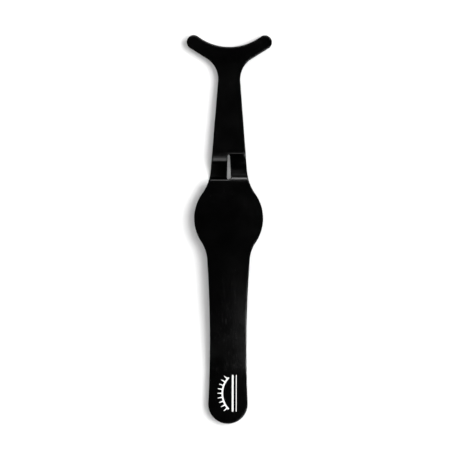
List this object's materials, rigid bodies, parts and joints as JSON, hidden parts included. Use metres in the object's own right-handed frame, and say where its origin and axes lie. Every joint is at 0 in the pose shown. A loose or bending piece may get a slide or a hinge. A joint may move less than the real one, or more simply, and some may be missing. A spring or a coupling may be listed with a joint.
{
  "type": "false eyelash applicator",
  "caption": "Cross-action false-lash applicator of crossed, lacquered spring leaves with crescent jaws, round finger pads and a welded tail; squeezing the pads opens the jaws.",
  "frame": {"origin": "under the middle of the bounding box, on the outer face of the lower finger pad", "axes": "+Y along the long axis from the welded tail to the crescent jaws, +Z out of the front leaf's finger pad, +X to the right seen from the front"},
  "size_m": [0.0262, 0.12, 0.01],
  "materials": {
    "lacquered_steel": "satin black lacquer baked on stamped steel with tumbled edges",
    "weld_steel": "fused steel of a spot weld, hidden between the leaves"
  },
  "bodies": {
    "tail": {"front_leaf_tail": "lacquered_steel", "back_leaf_tail": "lacquered_steel", "spot_welds": "weld_steel"},
    "front_arm": {"front_leaf_arm": "lacquered_steel"},
    "back_arm": {"back_leaf_arm": "lacquered_steel"}
  },
  "joints": [
    {"name": "front_flex", "type": "hinge", "parent": "tail", "child": "front_arm", "pos_m": [0, -0.0355, 0.00639], "axis": [-1, 0, 0], "range_deg": [0, 4.5], "stiffness_Nm_per_rad": 5, "springref_deg": -0.86},
    {"name": "back_flex", "type": "hinge", "parent": "tail", "child": "back_arm", "pos_m": [0, -0.0355, 0.00361], "axis": [1, 0, 0], "range_deg": [0, 4.5], "stiffness_Nm_per_rad": 5, "springref_deg": -0.86}
  ],
  "couplings": [
    {"joint": "back_flex", "follows": "front_flex", "ratio": 1}
  ]
}
